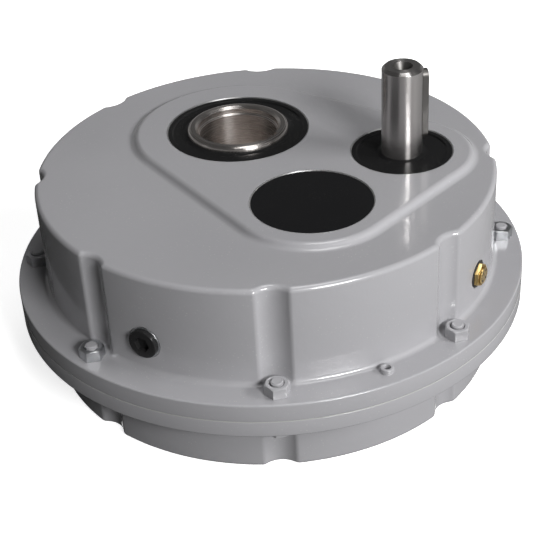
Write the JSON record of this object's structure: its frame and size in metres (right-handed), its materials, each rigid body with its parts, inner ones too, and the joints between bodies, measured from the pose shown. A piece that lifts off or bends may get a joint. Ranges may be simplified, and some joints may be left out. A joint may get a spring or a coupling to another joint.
{
  "type": "shaft-mounted gearbox",
  "caption": "Round split-casing shaft-mounted speed reducer with a hollow keyed output hub, a keyed input shaft, a covered layshaft bore and spur gears inside.",
  "frame": {"origin": "on the output bore's axis, in the plane of the lower casing's end ring", "axes": "+Z along all three shafts, towards the input shaft's free end; +X from the output bore's axis to the input shaft's axis; +Y completes a right-handed set"},
  "size_m": [0.32, 0.32, 0.1815],
  "materials": {
    "grey_enamel": "gloss",
    "ground_steel": "polished",
    "gear_steel": "machined",
    "bearing_steel": "polished",
    "spring_steel": "oiled",
    "key_steel": "satin",
    "plated_steel": "satin",
    "brass": "polished",
    "dark_washer": "satin",
    "black_plug": "gloss",
    "seal_rubber": "gloss",
    "cap_rubber": "satin",
    "gasket": "matte"
  },
  "bodies": {
    "casing": {"upper_casing": "grey_enamel", "lower_casing": "grey_enamel", "casing_gasket": "gasket", "flange_bolts": "grey_enamel", "flange_nuts": "plated_steel", "locating_dowels": "grey_enamel", "breather_plug": "brass", "breather_washer": "dark_washer", "oil_plugs": "black_plug", "oil_plug_washers": "plated_steel", "upper_hub_seal": "seal_rubber", "lower_hub_seal": "seal_rubber", "input_shaft_seal": "seal_rubber", "upper_layshaft_cap": "cap_rubber", "lower_layshaft_cap": "cap_rubber", "lower_input_cap": "cap_rubber", "bore_snap_rings": "spring_steel", "bearing_shims": "spring_steel", "hub_bearing_cups": "bearing_steel", "layshaft_bearing_cups": "bearing_steel", "input_bearing_cups": "bearing_steel"},
    "output_hub": {"output_hub": "ground_steel", "output_wheel": "gear_steel", "output_wheel_key": "key_steel", "hub_spacer": "gear_steel", "hub_bearing_cones": "bearing_steel"},
    "layshaft": {"layshaft": "ground_steel", "layshaft_gear": "gear_steel", "layshaft_gear_key": "key_steel", "layshaft_spacer": "gear_steel", "layshaft_bearing_cones": "bearing_steel"},
    "input_shaft": {"input_shaft": "ground_steel", "input_key": "key_steel", "input_bearing_cones": "bearing_steel"},
    "hub_rollers": {"hub_bearing_rollers": "bearing_steel"},
    "layshaft_rollers": {"layshaft_bearing_rollers": "bearing_steel"},
    "input_rollers": {"input_bearing_rollers": "bearing_steel"}
  },
  "joints": [
    {"name": "output_turn", "type": "hinge", "parent": "casing", "child": "output_hub", "pos_m": [0, 0, 0.062], "axis": [0, 0, 1], "continuous": true},
    {"name": "layshaft_turn", "type": "hinge", "parent": "casing", "child": "layshaft", "pos_m": [0.07643, -0.07416, 0.062], "axis": [0, 0, 1], "continuous": true},
    {"name": "input_turn", "type": "hinge", "parent": "casing", "child": "input_shaft", "pos_m": [0.109, 0, 0.062], "axis": [0, 0, 1], "continuous": true},
    {"name": "hub_rollers_turn", "type": "hinge", "parent": "casing", "child": "hub_rollers", "pos_m": [0, 0, 0.062], "axis": [0, 0, 1], "continuous": true},
    {"name": "layshaft_rollers_turn", "type": "hinge", "parent": "casing", "child": "layshaft_rollers", "pos_m": [0.07643, -0.07416, 0.062], "axis": [0, 0, 1], "continuous": true},
    {"name": "input_rollers_turn", "type": "hinge", "parent": "casing", "child": "input_rollers", "pos_m": [0.109, 0, 0.062], "axis": [0, 0, 1], "continuous": true}
  ],
  "couplings": [
    {"joint": "layshaft_turn", "follows": "output_turn", "ratio": -3.4375},
    {"joint": "input_turn", "follows": "output_turn", "ratio": 12.941},
    {"joint": "hub_rollers_turn", "follows": "output_turn", "ratio": 0.45335},
    {"joint": "layshaft_rollers_turn", "follows": "output_turn", "ratio": -1.4573},
    {"joint": "input_rollers_turn", "follows": "output_turn", "ratio": 5.4807}
  ]
}
